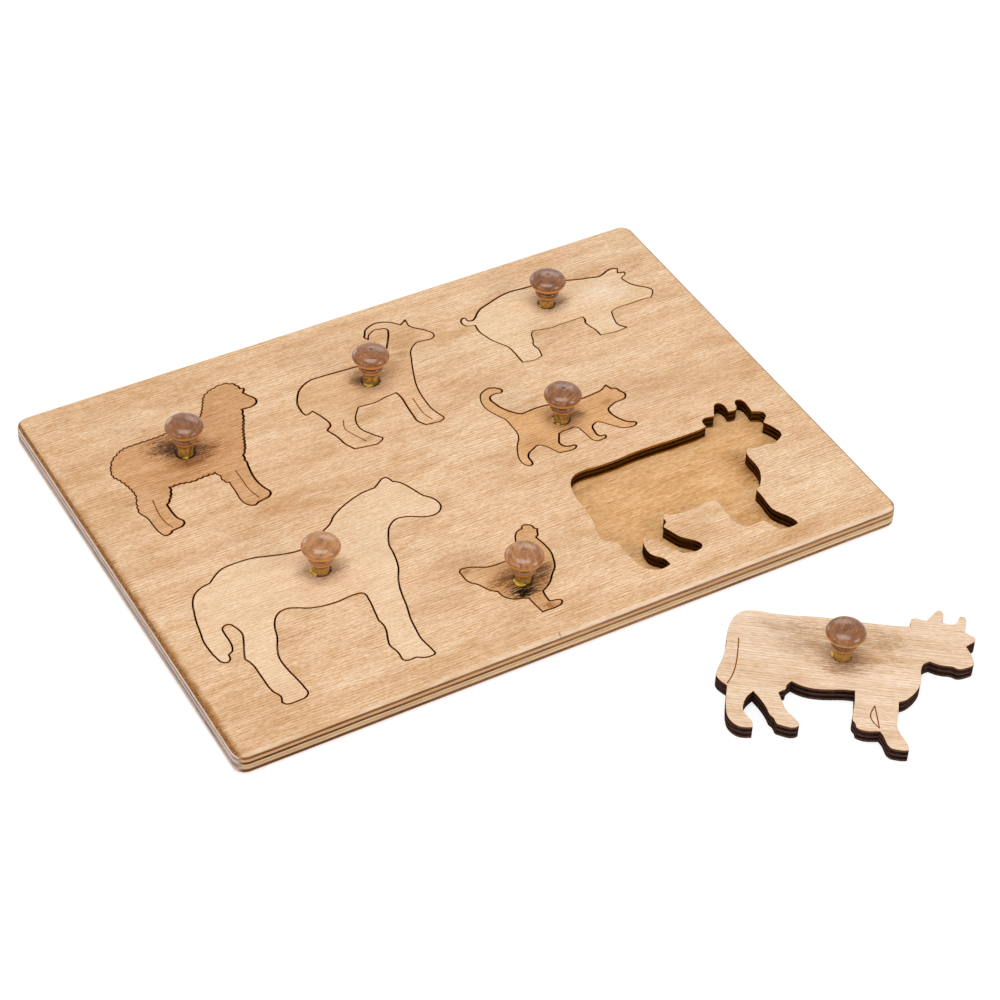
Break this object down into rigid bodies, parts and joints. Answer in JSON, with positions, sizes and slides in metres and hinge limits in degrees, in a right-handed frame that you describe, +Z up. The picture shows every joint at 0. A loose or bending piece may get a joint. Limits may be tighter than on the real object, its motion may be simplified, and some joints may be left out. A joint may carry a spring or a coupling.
{
  "type": "peg puzzle",
  "caption": "Rectangular plywood peg puzzle: farm animal pieces with turned wooden knobs lift out of matching recesses in a laminated board; the cow lies beside it.",
  "frame": {"origin": "centre of the board's underside, on the table", "axes": "+X to the right along the board's long side, +Y from front to back, +Z up out of the board's face"},
  "size_m": [0.3, 0.3255, 0.0275],
  "materials": {
    "base_plywood": "bare birch plywood, light brown",
    "frame_plywood": "bare sanded birch plywood with a stained, blotchy grain",
    "pale_plywood": "bare sanded birch plywood, pale",
    "brown_plywood": "bare sanded birch plywood, browner",
    "knob_wood": "turned hardwood, clear gloss varnish"
  },
  "bodies": {
    "board": {"base_panel": "base_plywood", "frame_panel": "frame_plywood"},
    "sheep_piece": {"sheep": "brown_plywood", "sheep_knob": "knob_wood"},
    "goat_piece": {"goat": "frame_plywood", "goat_knob": "knob_wood"},
    "pig_piece": {"pig": "pale_plywood", "pig_knob": "knob_wood"},
    "cat_piece": {"cat": "brown_plywood", "cat_knob": "knob_wood"},
    "horse_piece": {"horse": "pale_plywood", "horse_knob": "knob_wood"},
    "hen_piece": {"hen": "brown_plywood", "hen_knob": "knob_wood"},
    "cow_piece": {"cow": "pale_plywood", "cow_knob": "knob_wood"}
  },
  "joints": [
    {"name": "sheep_lift", "type": "slide", "parent": "board", "child": "sheep_piece", "axis": [0, 0, 1], "range_m": [0, 0.06]},
    {"name": "goat_lift", "type": "slide", "parent": "board", "child": "goat_piece", "axis": [0, 0, 1], "range_m": [0, 0.06]},
    {"name": "pig_lift", "type": "slide", "parent": "board", "child": "pig_piece", "axis": [0, 0, 1], "range_m": [0, 0.06]},
    {"name": "cat_lift", "type": "slide", "parent": "board", "child": "cat_piece", "axis": [0, 0, 1], "range_m": [0, 0.06]},
    {"name": "horse_lift", "type": "slide", "parent": "board", "child": "horse_piece", "axis": [0, 0, 1], "range_m": [0, 0.06]},
    {"name": "hen_lift", "type": "slide", "parent": "board", "child": "hen_piece", "axis": [0, 0, 1], "range_m": [0, 0.06]},
    {"name": "cow_lift", "type": "slide", "parent": "board", "child": "cow_piece", "axis": [0, 0, 1], "range_m": [0, 0.06]}
  ]
}
